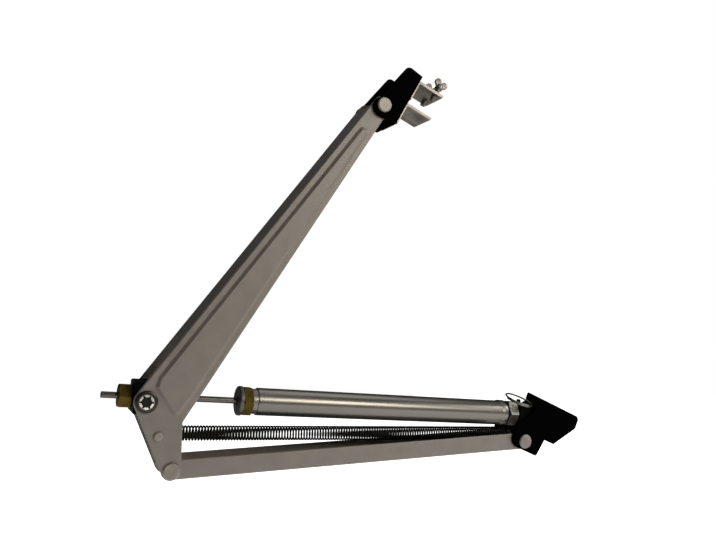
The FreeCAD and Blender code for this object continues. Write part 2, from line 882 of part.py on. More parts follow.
def wing_screw(side):
    y = side * screw_side
    stem = Part.makeCylinder(
        screw_radius, screw_collar - screw_tip, Vector(screw_tip, y, -screw_depth), Vector(1, 0, 0)
    )
    tip_edges = [e for e in stem.Edges if e.BoundBox.XMax < screw_tip + 0.01]
    stem = stem.makeChamfer(0.7, tip_edges)
    collar = Part.makeCone(
        screw_radius + 1.2, screw_radius + 0.4, 4.0, Vector(screw_collar - 1.0, y, -screw_depth),
        Vector(1, 0, 0),
    )
    reach = wing_span / 2 - wing_lobe
    base = screw_collar + 0.2
    lift = wing_height - wing_lobe
    wing = slab([
        (base, -screw_depth - 1.6, 0.6),
        (base + lift, -screw_depth - reach, wing_lobe),
        (base + wing_saddle, -screw_depth, -0.6),
        (base + lift, -screw_depth + reach, wing_lobe),
        (base, -screw_depth + 1.6, 0.6),
    ], y - wing_thickness / 2, y + wing_thickness / 2)
    return stem.multiFuse([collar, wing]).removeSplitter()


def thrust_washers():
    """Washers between the two arms' flanges on the fold rivet."""
    outer = upper_width / 2 - arm_wall - washer_gap
    inner = lower_width / 2 + washer_gap
    washer = cross_rod(0, 0, lower_end - 0.6, -outer, -inner)
    washer = washer.cut(cross_rod(0, 0, rivet_radius + running_gap, -outer - 1, -inner + 1))
    return Part.makeCompound(both_sides(washer))


def closing_spring():
    """The spring's outer shape as a sleeve, with an eye of wire round the pin at each end."""
    dx = base_pivot[0] - spring_anchor[0]
    dz = base_pivot[1] - spring_anchor[1]
    span = math.hypot(dx, dz)
    inner = spring_radius - 2 * spring_wire
    start = spring_sleeve_gap
    end = span - spring_far_gap
    sleeve = turned([(start, inner), (start, spring_radius), (end, spring_radius), (end, inner)])
    pieces = [sleeve]
    anchor_eye = spring_pin_radius + spring_wire + 0.3
    rivet_eye = rivet_radius + spring_wire + 0.3
    for centre, eye, side, foot in ((0, anchor_eye, 1, start), (span, rivet_eye, -1, end)):
        ring = wire_ring(eye, spring_wire)
        ring.rotate(Vector(0, 0, 0), Vector(1, 0, 0), 90)
        ring.translate(Vector(centre, 0, 0))
        near = centre + side * eye
        bar = Part.makeCylinder(
            spring_wire, abs(foot - near) + 1.0, Vector(near, 0, 0), Vector(side, 0, 0)
        )
        disc_x = foot if side > 0 else foot - 1.2
        disc = Part.makeCylinder(inner + 0.5, 1.2, Vector(disc_x, 0, 0), Vector(1, 0, 0))
        pieces.extend([ring, bar, disc])
    spring = pieces[0].multiFuse(pieces[1:]).removeSplitter()
    return at(spring, spring_anchor, math.degrees(math.atan2(dz, dx)))


def main():
    os.makedirs("parts", exist_ok=True)
    base_rivet_half = lower_width / 2 + side_gap + bracket_wall
    vent_rivet_half = upper_width / 2 + 2 * side_gap + bracket_wall
    keep("frame_bracket", at(frame_bracket(), base_pivot, -frame_tilt))
    keep("base_rivet", at(
        rivet(base_rivet_half, rivet_radius, rivet_head, rivet_head_height), base_pivot, 0))
    keep("lower_arm", at(lower_arm(), fold_pivot, 0))
    keep("thrust_washers", at(thrust_washers(), fold_pivot, 0))
    keep("main_rivet", at(
        rivet(upper_width / 2, rivet_radius, rivet_head, rivet_head_height), fold_pivot, 0))
    keep("upper_arm", at(upper_arm(), fold_pivot, upper_angle))
    keep("spring_pin", at(
        rivet(upper_width / 2, spring_pin_radius, spring_pin_head, spring_pin_dome), spring_anchor, 0))
    keep("vent_rivet", at(
        rivet(vent_rivet_half, rivet_radius, rivet_head, rivet_head_height), vent_pivot, 0))
    keep("trunnion_pins", at(trunnion_pins(), trunnion, axis_angle))
    keep("star_washers", at(star_washers(), trunnion, axis_angle))
    on_axis = {
        "guide_block": guide_block,
        "piston_rod": piston_rod,
        "adjusting_nut": adjusting_nut,
        "piston_head": piston_head,
        "gland_cap": gland_cap,
        "gland_nut": gland_nut,
        "rod_seal": rod_seal,
        "cylinder_tube": cylinder_tube,
        "wax_charge": wax_charge,
        "end_plug": end_plug,
        "lock_nut": lock_nut,
        "cylinder_holder": cylinder_holder,
        "locking_pin": locking_pin,
        "pull_ring": pull_ring,
    }
    for name, make in on_axis.items():
        keep(name, at(make(), axis_start, axis_angle))
    keep("closing_spring", closing_spring())
    vent_parts = {
        "vent_bracket": vent_bracket(),
        "lower_jaw": jaw(lower_jaw_leg, lower_jaw_at, False),
        "upper_jaw": jaw(upper_jaw_leg, upper_jaw_at, True),
        "jaw_rivets": jaw_rivets(),
        "wing_screw_front": wing_screw(-1),
        "wing_screw_rear": wing_screw(1),
    }
    for name, shape in vent_parts.items():
        keep(name, at(shape, vent_pivot, upper_angle))
    print("base pivot", base_pivot, "fold pivot", fold_pivot)
    print("vent pivot", vent_pivot, "trunnion", trunnion, "axis angle", axis_angle)


main()
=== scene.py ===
import json
import math

import bmesh
import bpy
from mathutils import Matrix, Vector


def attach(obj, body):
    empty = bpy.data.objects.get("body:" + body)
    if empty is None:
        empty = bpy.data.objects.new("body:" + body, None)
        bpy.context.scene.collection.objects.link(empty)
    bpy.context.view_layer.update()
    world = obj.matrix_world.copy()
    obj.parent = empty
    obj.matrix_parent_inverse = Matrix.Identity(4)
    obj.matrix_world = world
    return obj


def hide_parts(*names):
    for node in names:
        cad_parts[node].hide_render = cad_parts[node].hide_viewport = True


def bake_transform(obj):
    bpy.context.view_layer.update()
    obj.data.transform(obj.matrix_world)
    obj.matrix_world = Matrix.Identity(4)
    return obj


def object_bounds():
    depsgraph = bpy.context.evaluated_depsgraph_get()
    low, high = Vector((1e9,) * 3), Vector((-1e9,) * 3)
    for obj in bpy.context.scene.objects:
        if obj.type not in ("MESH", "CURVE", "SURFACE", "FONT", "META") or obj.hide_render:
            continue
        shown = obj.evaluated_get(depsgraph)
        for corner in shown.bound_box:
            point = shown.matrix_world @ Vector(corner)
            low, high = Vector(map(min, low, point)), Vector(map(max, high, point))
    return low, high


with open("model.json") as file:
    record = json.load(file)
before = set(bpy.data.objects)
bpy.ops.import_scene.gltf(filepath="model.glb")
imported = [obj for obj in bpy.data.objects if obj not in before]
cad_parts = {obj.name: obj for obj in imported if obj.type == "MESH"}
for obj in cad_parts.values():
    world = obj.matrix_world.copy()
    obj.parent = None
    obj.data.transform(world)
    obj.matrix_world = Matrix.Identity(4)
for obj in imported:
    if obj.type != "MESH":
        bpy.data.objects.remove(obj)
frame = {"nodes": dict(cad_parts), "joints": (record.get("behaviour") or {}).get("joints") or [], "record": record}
cadLow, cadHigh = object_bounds()
mm = 0.001
nodes = frame["nodes"]
bodyOf = {n: b for b, names in frame["record"]["behaviour"]["bodies"].items() for n in names}
slotOf = {p["node"]: p["material_slot"] for p in frame["record"]["subparts"]}


# Where a joint stands, in the row frame.
def jointPoint(name):
    for joint in frame["joints"]:
        if joint["name"] == name:
            return Vector(joint["pos_m"])


def jointAxis(name):
    for joint in frame["joints"]:
        if joint["name"] == name:
            return Vector(joint["axis"]).normalized()


basePivot = jointPoint("base_pivot")
foldPivot = jointPoint("main_fold")
trunnion = jointPoint("trunnion_swing")
ventPivot = jointPoint("vent_pivot")
axisAlong = jointAxis("cylinder_slide")
axisUp = Vector((-axisAlong.z, 0, axisAlong.x))
screwAlong = jointAxis("wing_screw_front_travel")
print("frame loaded")

# Materials

coats = {
    "arm_coat": {
        "colour": (0.105, 0.093, 0.078), "metallic": 0.2, "rough": 0.5, "grain": 2600,
        "bump": 0.25, "patch": 0.1,
    },
    "bracket_black": {
        "colour": (0.0008, 0.0008, 0.0008), "rough": 0.7, "specular": 0.0, "grain": 1800,
        "bump": 0.12,
    },
    "block_black": {
        "colour": (0.0012, 0.0012, 0.0012), "rough": 0.6, "specular": 0.02, "grain": 1500,
        "bump": 0.15,
    },
    "rivet_steel": {
        "colour": (0.132, 0.12, 0.099), "metallic": 0.3, "rough": 0.45, "grain": 1400,
        "bump": 0.15, "patch": 0.25,
    },
    "zinc_steel": {
        "colour": (0.13, 0.121, 0.107), "metallic": 0.8, "rough": 0.4, "rim": 0.1,
        "specular": 0.2, "grain": 1300, "bump": 0.2, "patch": 0.3,
    },
    "pin_steel": {
        "colour": (0.007, 0.007, 0.006), "metallic": 0.6, "rough": 0.45, "specular": 0.2,
        "grain": 1500, "bump": 0.1, "patch": 0.2,
    },
    "star_steel": {
        "colour": (0.018, 0.016, 0.013), "metallic": 0.8, "rough": 0.3, "grain": 1500,
        "bump": 0.1, "patch": 0.3,
    },
    "ring_steel": {
        "colour": (0.1, 0.094, 0.083), "metallic": 0.8, "rough": 0.35, "rim": 0.2,
        "grain": 1200, "bump": 0.05, "patch": 0.15,
    },
    "rod_steel": {
        "colour": (0.085, 0.079, 0.069), "metallic": 0.8, "rough": 0.3, "rim": 0.05,
        "specular": 0.1, "grain": 1200, "bump": 0.05, "patch": 0.15,
    },
    "spring_steel": {
        "colour": (0.011, 0.011, 0.01), "metallic": 0.5, "rough": 0.45, "rim": 0.05,
        "specular": 0.1, "grain": 1600, "bump": 0.1, "patch": 0.2,
    },
    "brass": {
        "colour": (0.055, 0.037, 0.006), "metallic": 0.7, "rough": 0.42, "rim": 0.1,
        "grain": 1400, "bump": 0.2, "patch": 0.5,
    },
    "cap_steel": {
        "colour": (0.08, 0.076, 0.07), "metallic": 0.7, "rough": 0.4, "rim": 0.1, "grain": 1200,
        "bump": 0.1, "patch": 0.2,
    },
    "aluminium": {
        "colour": (0.12, 0.113, 0.102), "metallic": 0.9, "rough": 0.31, "rim": 0.1,
        "specular": 0.2, "grain": 900, "bump": 0.05, "patch": 0.15, "stretch": 0.02,
    },
    "nylon": {
        "colour": (0.6, 0.58, 0.52), "rough": 0.5, "grain": 900, "bump": 0.05,
    },
    "rubber": {
        "colour": (0.02, 0.02, 0.02), "rough": 0.7, "grain": 900, "bump": 0.1,
    },
    "wax": {
        "colour": (0.7, 0.62, 0.38), "rough": 0.5, "grain": 300, "bump": 0.05,
    },
}


def groupSocket(group, name, way, kind, value=None):
    socket = group.interface.new_socket(name, in_out=way, socket_type=kind)
    if value is not None:
        socket.default_value = value


grainLook = {
    "detail": 2.0,
    "depth": 0.0002,
    "patchScale": 70.0,
    "patchDetail": 6.0,
    "patchLow": 0.3,
    "patchHigh": 0.7,
}


# Fine grain as a normal, and broad patches as a colour and a roughness.
def makeFinishGroup(look):
    group = bpy.data.node_groups.new("finish", "ShaderNodeTree")
    groupSocket(group, "Vector", "INPUT", "NodeSocketVector")
    groupSocket(group, "Colour", "INPUT", "NodeSocketColor", (0.5, 0.5, 0.5, 1))
    groupSocket(group, "Grain", "INPUT", "NodeSocketFloat", 1000.0)
    groupSocket(group, "Bump", "INPUT", "NodeSocketFloat", 0.1)
    groupSocket(group, "Patch", "INPUT", "NodeSocketFloat", 0.1)
    groupSocket(group, "Rough", "INPUT", "NodeSocketFloat", 0.4)
    groupSocket(group, "Colour", "OUTPUT", "NodeSocketColor")
    groupSocket(group, "Roughness", "OUTPUT", "NodeSocketFloat")
    groupSocket(group, "Normal", "OUTPUT", "NodeSocketVector")
    made, link = group.nodes, group.links
    source = made.new("NodeGroupInput")
    out = made.new("NodeGroupOutput")
    fine = made.new("ShaderNodeTexNoise")
    fine.inputs["Detail"].default_value = look["detail"]
    link.new(source.outputs["Vector"], fine.inputs["Vector"])
    link.new(source.outputs["Grain"], fine.inputs["Scale"])
    bump = made.new("ShaderNodeBump")
    bump.inputs["Distance"].default_value = look["depth"]
    link.new(source.outputs["Bump"], bump.inputs["Strength"])
    link.new(fine.outputs["Fac"], bump.inputs["Height"])
    link.new(bump.outputs["Normal"], out.inputs["Normal"])
    broad = made.new("ShaderNodeTexNoise")
    broad.inputs["Scale"].default_value = look["patchScale"]
    broad.inputs["Detail"].default_value = look["patchDetail"]
    link.new(source.outputs["Vector"], broad.inputs["Vector"])
    spread = made.new("ShaderNodeMapRange")
    spread.inputs["From Min"].default_value = look["patchLow"]
    spread.inputs["From Max"].default_value = look["patchHigh"]
    spread.inputs["To Min"].default_value = -1.0
    link.new(broad.outputs["Fac"], spread.inputs["Value"])
    swing = made.new("ShaderNodeMath")
    swing.operation = "MULTIPLY"
    link.new(spread.outputs["Result"], swing.inputs[0])
    link.new(source.outputs["Patch"], swing.inputs[1])
    lift = made.new("ShaderNodeMath")
    lift.inputs[1].default_value = 1.0
    link.new(swing.outputs[0], lift.inputs[0])
    tint = made.new("ShaderNodeVectorMath")
    tint.operation = "SCALE"
    link.new(source.outputs["Colour"], tint.inputs[0])
    link.new(lift.outputs[0], tint.inputs["Scale"])
    link.new(tint.outputs[0], out.inputs["Colour"])
    rough = made.new("ShaderNodeMath")
    rough.operation = "MULTIPLY"
    link.new(source.outputs["Rough"], rough.inputs[0])
    link.new(lift.outputs[0], rough.inputs[1])
    link.new(rough.outputs[0], out.inputs["Roughness"])
    return group


finish = makeFinishGroup(grainLook)


def makeCoat(name, coat):
    material = bpy.data.materials.new(name)
    material.use_nodes = True
    made, link = material.node_tree.nodes, material.node_tree.links
    shader = made["Principled BSDF"]
    shader.inputs["Metallic"].default_value = coat.get("metallic", 0.0)
    shader.inputs["Specular IOR Level"].default_value = coat.get("specular", 0.5)
    rim = coat.get("rim", 1.0)
    shader.inputs["Specular Tint"].default_value = (rim, rim, rim, 1)
    place = made.new("ShaderNodeTexCoord")
    turn = made.new("ShaderNodeMapping")
    turn.inputs["Scale"].default_value = (coat.get("stretch", 1.0), 1.0, 1.0)
    lean = math.atan2(axisAlong.z, axisAlong.x) if "stretch" in coat else 0
    turn.inputs["Rotation"].default_value = (0, lean, 0)
    link.new(place.outputs["Object"], turn.inputs["Vector"])
    look = made.new("ShaderNodeGroup")
    look.node_tree = finish
    look.inputs["Colour"].default_value = (*coat["colour"], 1)
    look.inputs["Grain"].default_value = coat["grain"]
    look.inputs["Bump"].default_value = coat["bump"]
    look.inputs["Patch"].default_value = coat.get("patch", 0.1)
    look.inputs["Rough"].default_value = coat["rough"]
    link.new(turn.outputs["Vector"], look.inputs["Vector"])
    link.new(look.outputs["Colour"], shader.inputs["Base Color"])
    link.new(look.outputs["Roughness"], shader.inputs["Roughness"])
    link.new(look.outputs["Normal"], shader.inputs["Normal"])
    return material


# Painted highlight: the star washer's teeth get a bright colour standing in for the light their edges catch, and
# its rim stays dark.
def paintTeethHighlight(material, centre, inner, outer, teethHighlight):
    made, link = material.node_tree.nodes, material.node_tree.links
    place = made.new("ShaderNodeTexCoord")
    middle = made.new("ShaderNodeMapping")
    middle.inputs["Location"].default_value = -centre
    middle.inputs["Scale"].default_value = (1, 0, 1)
    link.new(place.outputs["Object"], middle.inputs["Vector"])
    reach = made.new("ShaderNodeVectorMath")
    reach.operation = "LENGTH"
    link.new(middle.outputs["Vector"], reach.inputs[0])
    band = made.new("ShaderNodeMapRange")
    band.inputs["From Min"].default_value = inner * mm
    band.inputs["From Max"].default_value = outer * mm
    link.new(reach.outputs["Value"], band.inputs["Value"])
    mix = made.new("ShaderNodeMix")
    mix.data_type = "RGBA"
    mix.inputs["A"].default_value = (*teethHighlight, 1)
    link.new(band.outputs["Result"], mix.inputs["Factor"])
    shader = made["Principled BSDF"]
    link.new(shader.inputs["Base Color"].links[0].from_socket, mix.inputs["B"])
    link.new(mix.outputs["Result"], shader.inputs["Base Color"])


materials = {name: makeCoat(name, coat) for name, coat in coats.items()}
# The teeth colour here is a painted highlight on the star washer.
star = {"inner": 5.2, "outer": 6.0, "teethHighlight": (0.55, 0.52, 0.46)}
paintTeethHighlight(materials["star_steel"], trunnion, star["inner"], star["outer"], star["teethHighlight"])


# A second colour from a distance along the cylinder's axis on.
def tintBeyond(material, start, colour):
    made, link = material.node_tree.nodes, material.node_tree.links
    place = made.new("ShaderNodeTexCoord")
    reach = made.new("ShaderNodeVectorMath")
    reach.operation = "DOT_PRODUCT"
    reach.inputs[1].default_value = axisAlong
    link.new(place.outputs["Object"], reach.inputs[0])
    past = made.new("ShaderNodeMath")
    past.operation = "GREATER_THAN"
    past.inputs[1].default_value = trunnion.dot(axisAlong) + start * mm
    link.new(reach.outputs["Value"], past.inputs[0])
    mix = made.new("ShaderNodeMix")
    mix.data_type = "RGBA"
    mix.inputs["B"].default_value = (*colour, 1)
    link.new(past.outputs[0], mix.inputs["Factor"])
    shader = made["Principled BSDF"]
    link.new(shader.inputs["Base Color"].links[0].from_socket, mix.inputs["A"])
    link.new(mix.outputs["Result"], shader.inputs["Base Color"])


glandNeckStart = 87.0
tintBeyond(materials["brass"], glandNeckStart, coats["aluminium"]["colour"])
# Painted shade: the end plug's shoulder gets the near-black pin coat, standing in for the shadowed gap before the
# lock nut
shadeCoatNodes = {"end_plug": "pin_steel"}
for name, node in nodes.items():
    node.data.materials.clear()
    node.data.materials.append(materials[shadeCoatNodes.get(name, slotOf[name])])
print("materials made")


# A finished mesh object at the origin, in its coat, riding its body.
def addPiece(name, bm, slot, body=None, smoothAngle=35, coat=None, weighted=False):
    mesh = bpy.data.meshes.new(name)
    bmesh.ops.recalc_face_normals(bm, faces=bm.faces)
    bm.to_mesh(mesh)
    bm.free()
    for face in mesh.polygons:
        face.use_smooth = True
    mesh.set_sharp_from_angle(angle=math.radians(smoothAngle))
    mesh.materials.append(materials[coat or slot])
    piece = bpy.data.objects.new(name, mesh)
    bpy.context.scene.collection.objects.link(piece)
    if weighted:
        piece.modifiers.new("flatFaces", "WEIGHTED_NORMAL").keep_sharp = True
    if body:
        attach(piece, body)
    return piece


# Sheet and turned pieces: copies of the solids with their edges broken

ringRelief = {
    "tilt": 24.5,
    "edge": -14.7,
    "shape": (
        (11.0, 0.0), (16.0, 4.0), (22.0, 9.0), (28.0, 12.5),
        (32.5, 14.0), (34.5, 12.5), (36.2, 7.0), (37.2, 0.0),
    ),
    "outside": -6.0,
    "across": (-26.0, -12.0),
}
edgeBreaks = {
    "upper_arm": {"edge": 0.3, "press": 1.5},
    "lower_arm": {"edge": 0.3},
    "frame_bracket": {"edge": 0.45, "relief": ringRelief},
    "vent_bracket": {"edge": 0.45},
    "lower_jaw": {"edge": 0.35, "halfWidth": 15.8},
    "upper_jaw": {"edge": 0.35, "halfWidth": 15.8},
    "guide_block": {"edge": 0.35, "slide": (-6.2, 6.2, -9.0, 6.2)},
    "cylinder_holder": {"edge": 0.6},
    "star_washers": {"edge": 0.15, "coat": "star_steel"},
    "trunnion_pins": {"edge": 0.25},
    "adjusting_nut": {"edge": 0.4, "slide": (-19.8, -6.5, -19.8, -9.3)},
    "gland_cap": {"edge": 0.2, "coat": "cap_steel"},
    "gland_nut": {"edge": 0.35},
    "cylinder_tube": {"edge": 0.25},
    "lock_nut": {"edge": 0.4},
    "base_rivet": {"edge": 0.5},
    "main_rivet": {"edge": 0.5},
    "vent_rivet": {"edge": 0.5},
    "spring_pin": {"edge": 0.5},
    "jaw_rivets": {"edge": 0.3},
    "locking_pin": {"edge": 0.2},
    "piston_rod": {"edge": 0.2},
    "thrust_washers": {"edge": 0.15},
}
sharpFrom = math.radians(48)
pressFrom = math.radians(28)
flatBelow = math.radians(1.0)
mergeWithin = 0.000004
pressSegments = 4
edgeSegments = 2


def breakEdges(bm, low, high, width, segments):
    found = []
    for edge in bm.edges:
        if len(edge.link_faces) == 2 and low < edge.calc_face_angle(0) < high:
            found.append(edge)
    bmesh.ops.bevel(
        bm, geom=found, offset=width * mm, offset_type="OFFSET", segments=segments,
        profile=0.5, affect="EDGES", clamp_overlap=True, material=-1,
    )


# Cuts the front cheek's edge back beside the locking pin's ring.
def cutRelief(bm, relief):
    tilt = math.radians(relief["tilt"])
    along = Vector((math.cos(tilt), 0, -math.sin(tilt)))
    off = Vector((math.sin(tilt), 0, math.cos(tilt)))
    shape = relief["shape"]
    outline = [(shape[0][0], relief["outside"]), *shape, (shape[-1][0], relief["outside"])]
    cutter = bmesh.new()
    ends = []
    for y in relief["across"]:
        end = []
        for height, depth in outline:
            place = (along * (relief["edge"] + depth) + off * height) * mm
            end.append(cutter.verts.new(basePivot + place + Vector((0, y * mm, 0))))
        ends.append(end)
        cutter.faces.new(end)
    for k in range(len(outline)):
        cutter.faces.new((ends[0][k], ends[0][k - 1], ends[1][k - 1], ends[1][k]))
    bmesh.ops.recalc_face_normals(cutter, faces=cutter.faces)
    things = []
    for source in (bm, cutter):
        mesh = bpy.data.meshes.new("reliefPart")
        source.to_mesh(mesh)
        thing = bpy.data.objects.new("reliefPart", mesh)
        bpy.context.scene.collection.objects.link(thing)
        things.append(thing)
    cutter.free()
    step = things[0].modifiers.new("relief", "BOOLEAN")
    step.operation = "DIFFERENCE"
    step.solver = "EXACT"
    step.object = things[1]
    view = bpy.context.evaluated_depsgraph_get()
    cut = bpy.data.meshes.new_from_object(things[0].evaluated_get(view))
    bm.clear()
    bm.from_mesh(cut)
    for thing in things:
        bpy.data.objects.remove(thing)


def dressNode(name, how):
    bm = bmesh.new()
    bm.from_mesh(nodes[name].data)
    bmesh.ops.remove_doubles(bm, verts=bm.verts, dist=mergeWithin)
    bmesh.ops.dissolve_limit(
        bm, angle_limit=flatBelow, verts=bm.verts, edges=bm.edges, delimit={"NORMAL"},
    )
    if "halfWidth" in how:
        half = how["halfWidth"] * mm
        for vert in bm.verts:
            vert.co.y = max(-half, min(half, vert.co.y))
    if "slide" in how:
        low, high, newLow, newHigh = how["slide"]
        for vert in bm.verts:
            x = (vert.co - trunnion).dot(axisAlong) / mm
            moved = newLow + (x - low) * (newHigh - newLow) / (high - low)
            vert.co += axisAlong * (moved - x) * mm
    if "relief" in how:
        cutRelief(bm, how["relief"])
    if "press" in how:
        breakEdges(bm, pressFrom, sharpFrom, how["press"], pressSegments)
    breakEdges(bm, sharpFrom, math.pi, how["edge"], edgeSegments)
    piece = addPiece(
        name + "Piece", bm, slotOf[name], bodyOf[name], coat=how.get("coat"), weighted=True,
    )
    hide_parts(name)


for name, how in edgeBreaks.items():
    dressNode(name, how)
print("edges broken")


# A wire of round section along a path, closed at both ends.
def sweep(bm, path, radius, sides):
    rings = []
    normal = Vector((0, 1, 0))
    for i, point in enumerate(path):
        ahead = path[min(i + 1, len(path) - 1)] - path[max(i - 1, 0)]
        ahead.normalize()
        side = normal - ahead * normal.dot(ahead)
        if side.length < 1e-6:
            side = ahead.orthogonal()
        side.normalize()
        normal = side
        other = ahead.cross(side)
        ring = []
        for k in range(sides):
            turn = 2 * math.pi * k / sides
            reach = side * math.cos(turn) + other * math.sin(turn)
            ring.append(bm.verts.new(point + reach * radius))
        rings.append(ring)
    for before, after in zip(rings, rings[1:]):
        for k in range(sides):
            bm.faces.new((before[k], before[k - 1], after[k - 1], after[k]))
    bm.faces.new(rings[0])
    bm.faces.new(reversed(rings[-1]))


# Closing spring

spring = {
    "pinReach": 29.0,
    "pinAngle": 110.5,
    "wire": 0.76,
    "coil": 5.5,
    "pitch": 2.48,
    "steps": 18,
    "anchorEye": 4.3,
    "baseEye": 4.8,
    "lift": 5.0,
    "startGap": 9.0,
    "endGap": 11.0,
    "hookSteps": 24,
    "hookTurn": 280,
    "anchorFrom": -60,
    "baseFrom": 160,
    "sides": 8,
}
pinTurn = math.radians(spring["pinAngle"])
springPin = foldPivot + Vector((math.cos(pinTurn), 0, math.sin(pinTurn))) * spring["pinReach"] * mm


def makeSpring(s):
    span = (basePivot - springPin).length
    along = (basePivot - springPin).normalized()
    up = Vector((-along.z, 0, along.x))
    across = Vector((0, -1, 0))
    path = []

    def put(u, w, y):
        path.append(springPin + along * u + up * w + across * y)

    def hook(centre, eye, first):
        for i in range(s["hookSteps"] + 1):
            turn = math.radians(first - s["hookTurn"] * i / s["hookSteps"])
            put(centre + eye * math.cos(turn), eye * math.sin(turn), 0)

    start = s["startGap"] * mm
    end = span - s["endGap"] * mm
    coil = s["coil"] * mm
    hook(0, s["anchorEye"] * mm, s["anchorFrom"])
    coils = round((end - start) / (s["pitch"] * mm))
    count = coils * s["steps"]
    for i in range(count + 1):
        turn = 2 * math.pi * i / s["steps"]
        ease = min(1, i / s["steps"], (count - i) / s["steps"])
        put(
            start + (end - start) * i / count,
            coil * math.cos(turn) * (0.5 + 0.5 * ease) + s["lift"] * mm * i / count,
            coil * math.sin(turn),
        )
    hook(span, s["baseEye"] * mm, s["baseFrom"])
    bm = bmesh.new()
    sweep(bm, path, s["wire"] * mm, s["sides"])
    piece = addPiece("closingSpring", bm, "spring_steel", smoothAngle=60)
    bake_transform(piece)
    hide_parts("closing_spring")


makeSpring(spring)
print("spring wound")

# Pull ring

ring = {
    "tail": 3.85,
    "pinOffset": 4.0,
    "pinSide": -2.5,
    "centre": -0.4,
    "side": -3.4,
    "rise": 12.9,
    "radius": 13.0,
    "wire": 0.85,
    "tilt": 9.0,
    "roll": 18.0,
    "legDrop": 3.4,
    "legRise": 12.2,
    "legBefore": 7.0,
    "legAfter": 9.5,
    "axisDrop": 24.0,
    "turns": 1.3,
    "steps": 72,
    "layerRise": 1.4,
    "layerStart": -0.3,
    "bendSteps": 4,
    "bendShort": 1.0,
    "bendOut": 1.8,
    "bendSide": 1.6,
    "bendRise": 1.9,
    "sides": 10,
}


def makeRing(r):
    foot = basePivot + axisUp * r["axisDrop"] * mm
    pin = foot + axisAlong * (r["pinOffset"] - r["tail"]) * mm

    def put(x, y, z):
        return pin + axisAlong * x * mm + Vector((0, y * mm, 0)) + axisUp * z * mm

    tilt = math.radians(r["tilt"])
    roll = math.radians(r["roll"])
    bend = -r["legBefore"] + r["bendShort"]
    path = [
        put(r["legAfter"], r["pinSide"], r["legRise"] - r["legDrop"]),
        put(bend, r["pinSide"], r["legRise"]),
    ]
    for i in range(1, r["bendSteps"] + 1):
        t = i / r["bendSteps"]
        path.append(put(
            bend - r["bendOut"] * math.sin(t * math.pi / 2),
            r["pinSide"] + r["bendSide"] * t,
            r["legRise"] + r["bendRise"] * t * t,
        ))
    count = r["steps"]
    for i in range(count + 1):
        turn = math.pi + 2 * math.pi * r["turns"] * i / count
        x = r["radius"] * math.cos(turn)
        y = r["radius"] * math.sin(turn)
        layer = r["layerRise"] * (i / count) + r["layerStart"]
        z = y * math.sin(roll)
        path.append(put(
            r["centre"] + x * math.cos(tilt) + z * math.sin(tilt),
            r["side"] + y * math.cos(roll),
            r["rise"] + z * math.cos(tilt) - x * math.sin(tilt) + layer,
        ))
    bm = bmesh.new()
    sweep(bm, path, r["wire"] * mm, r["sides"])
    piece = addPiece("pullRing", bm, "rod_steel", "locking_pin", 60, "ring_steel")
    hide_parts("pull_ring")


makeRing(ring)
print("ring bent")

# Threads and wing screws

screws = {
    "depth": 40.2,
    "side": 9.0,
    "tip": 38.0,
    "collar": 53.0,
    "radius": 2.5,
    "root": 2.08,
    "pitch": 0.8,
    "edge": 0.3,
    "shankEnd": 1.5,
    "shankScale": 0.8,
    "threadStart": 0.4,
    "threadStop": 1.2,
}
rodTip = {
    "start": -32.0, "end": -19.9, "radius": 2.62, "root": 2.3, "pitch": 0.8, "rise": 2.2,
}
thread = {"sides": 24, "stepsPerTurn": 6, "steepness": 1.2}


# A screw thread as a turned ribbon, closed at both ends.
def addThread(bm, start, along, length, root, radius, pitch):
    side = along.orthogonal().normalized()
    other = along.cross(side)
    sides = thread["sides"]
    rings = []
    count = int(length / pitch * thread["stepsPerTurn"])
    for i in range(count + 1):
        x = length * i / count
        ring = []
        for k in range(sides):
            phase = (x / pitch - k / sides) % 1.0
            height = 1 - abs(2 * phase - 1)
            reach = (root + (radius - root) * min(1, height * thread["steepness"])) * mm
            turn = 2 * math.pi * k / sides
            off = (side * math.cos(turn) + other * math.sin(turn)) * reach
            ring.append(bm.verts.new(start + along * x * mm + off))
        rings.append(ring)
    for before, after in zip(rings, rings[1:]):
        for k in range(sides):
            bm.faces.new((before[k], before[k - 1], after[k - 1], after[k]))
    bm.faces.new(rings[0])
    bm.faces.new(reversed(rings[-1]))


def makeWingScrew(name, side, s):
    screwUp = Vector((-screwAlong.z, 0, screwAlong.x))
    line = ventPivot - screwUp * s["depth"] * mm + Vector((0, side * s["side"] * mm, 0))
    bm = bmesh.new()
    bm.from_mesh(nodes[name].data)
    bmesh.ops.remove_doubles(bm, verts=bm.verts, dist=mergeWithin)
    for vert in bm.verts:
        rel = vert.co - line
        x = rel.dot(screwAlong)
        if x < (s["collar"] - s["shankEnd"]) * mm:
            off = rel - screwAlong * x
            vert.co = line + screwAlong * x + off * s["shankScale"]
    breakEdges(bm, sharpFrom, math.pi, s["edge"], edgeSegments)
    start = line + screwAlong * (s["tip"] + s["threadStart"]) * mm
    length = s["collar"] - s["tip"] - s["threadStop"]
    addThread(bm, start, screwAlong, length, s["root"], s["radius"], s["pitch"])
    piece = addPiece(name + "Piece", bm, "zinc_steel", name, 50)
    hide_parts(name)


makeWingScrew("wing_screw_front", -1, screws)
makeWingScrew("wing_screw_rear", 1, screws)


def makeRodThread(t):
    start = trunnion + axisUp * t["rise"] * mm + axisAlong * t["start"] * mm
    bm = bmesh.new()
    length = t["end"] - t["start"]
    addThread(bm, start, axisAlong, length, t["root"], t["radius"], t["pitch"])
    addPiece("rodThread", bm, "rod_steel", "rod", 50)


makeRodThread(rodTip)
print("threads cut")

# Camera

cameraView = {
    "fromFold": (-0.101962, -0.609557, 0.131418),
    "forward": (0.39976, 0.9156, 0.0424),
    "right": (0.9164, -0.4003, 0.0053),
    "lens": 37.61,
    "sensor": 36.0,
}


